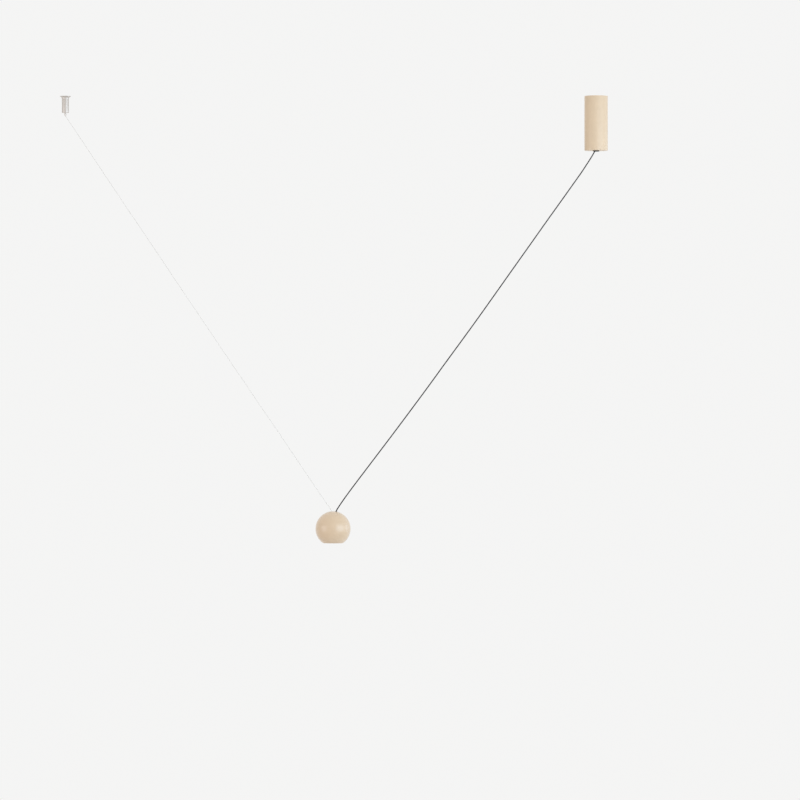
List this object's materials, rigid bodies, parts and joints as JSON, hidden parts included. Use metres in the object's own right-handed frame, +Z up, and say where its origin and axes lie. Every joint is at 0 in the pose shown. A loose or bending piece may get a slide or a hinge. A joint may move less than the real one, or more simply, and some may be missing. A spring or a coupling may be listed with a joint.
{
  "type": "pendant lamp",
  "caption": "Ball pendant lamp hung in a V between a tall round ceiling canopy with its cable and a wire gripper with a steel suspension wire; recessed light in the flat underside.",
  "frame": {"origin": "on the ceiling plane, at the canopy's axis", "axes": "+Z up out of the ceiling face, +X from the wire gripper to the canopy, +Y away from the viewer of the picture"},
  "size_m": [1.409, 0.09, 1.1495],
  "materials": {
    "sand_paint": "satin sand powder coat on aluminium",
    "sand_ball": "satin sand lacquer on aluminium",
    "zinc_steel": "zinc-plated sheet",
    "screw_steel": "bright steel",
    "nickel": "brushed nickel plate on brass",
    "steel_wire": "stranded stainless wire",
    "brass_screws": "plain brass",
    "black_cable": "black sheath",
    "black_plastic": "moulded black",
    "black_rubber": "matt rubber",
    "white_plastic": "moulded white",
    "brown_insulation": "brown insulation",
    "blue_insulation": "blue insulation",
    "red_insulation": "red insulation",
    "green_board": "solder-masked board",
    "white_board": "white solder-masked board",
    "transformer": "ferrite core",
    "capacitor_sleeve": "shrink sleeve",
    "raw_aluminium": "extruded aluminium",
    "phosphor": "yellow phosphor",
    "mirror_coat": "vacuum-metallised plastic",
    "frosted_lens": "frosted acrylic"
  },
  "bodies": {
    "ceiling_fittings": {"ceiling_bracket": "zinc_steel", "supply_grommet": "black_rubber", "canopy_shell": "sand_paint", "canopy_set_screws": "screw_steel", "driver_carrier": "zinc_steel", "carrier_screws": "screw_steel", "terminal_block": "white_plastic", "terminal_screws": "brass_screws", "live_lead": "brown_insulation", "neutral_lead": "blue_insulation", "driver_case": "white_plastic", "driver_lid": "white_plastic", "lid_screws": "screw_steel", "driver_screws": "screw_steel", "driver_board": "green_board", "driver_transformer": "transformer", "driver_capacitors": "capacitor_sleeve", "cable_tail": "black_cable", "gland_body": "black_plastic", "gland_nut": "black_plastic", "gland_screw": "white_plastic", "gripper_flange": "nickel", "gripper_body": "nickel", "gripper_spring": "screw_steel", "wire_tail": "steel_wire"},
    "hanging_lines": {"power_cable": "black_cable", "suspension_wire": "steel_wire", "wire_end": "screw_steel"},
    "ball": {"ball_shell": "sand_ball", "cable_bush": "black_rubber", "lamp_cable_end": "black_cable", "cable_ferrule": "brass_screws", "led_leads": "red_insulation", "heat_sink": "raw_aluminium", "post_screws": "screw_steel", "led_board": "white_board", "led_emitter": "phosphor", "led_holder": "white_plastic", "holder_screws": "screw_steel", "reflector": "mirror_coat", "front_lens": "frosted_lens", "front_ring": "sand_ball"},
    "plunger": {"gripper_plunger": "nickel", "grip_balls": "screw_steel"}
  },
  "joints": [
    {"name": "lamp_swing", "type": "hinge", "parent": "ceiling_fittings", "child": "hanging_lines", "pos_m": [-0.0035, 0, -0.142], "axis": [0.9978, 0, -0.0667], "range_deg": [-35, 35]},
    {"name": "ball_nod", "type": "hinge", "parent": "hanging_lines", "child": "ball", "pos_m": [-0.6765, 0, -1.0715], "axis": [1, 0, 0], "range_deg": [-15, 15]},
    {"name": "release_press", "type": "slide", "parent": "ceiling_fittings", "child": "plunger", "axis": [0, 0, 1], "range_m": [0, 0.0025], "stiffness_N_per_m": 300, "springref_m": -0.004, "deforming": ["gripper_spring"]}
  ]
}
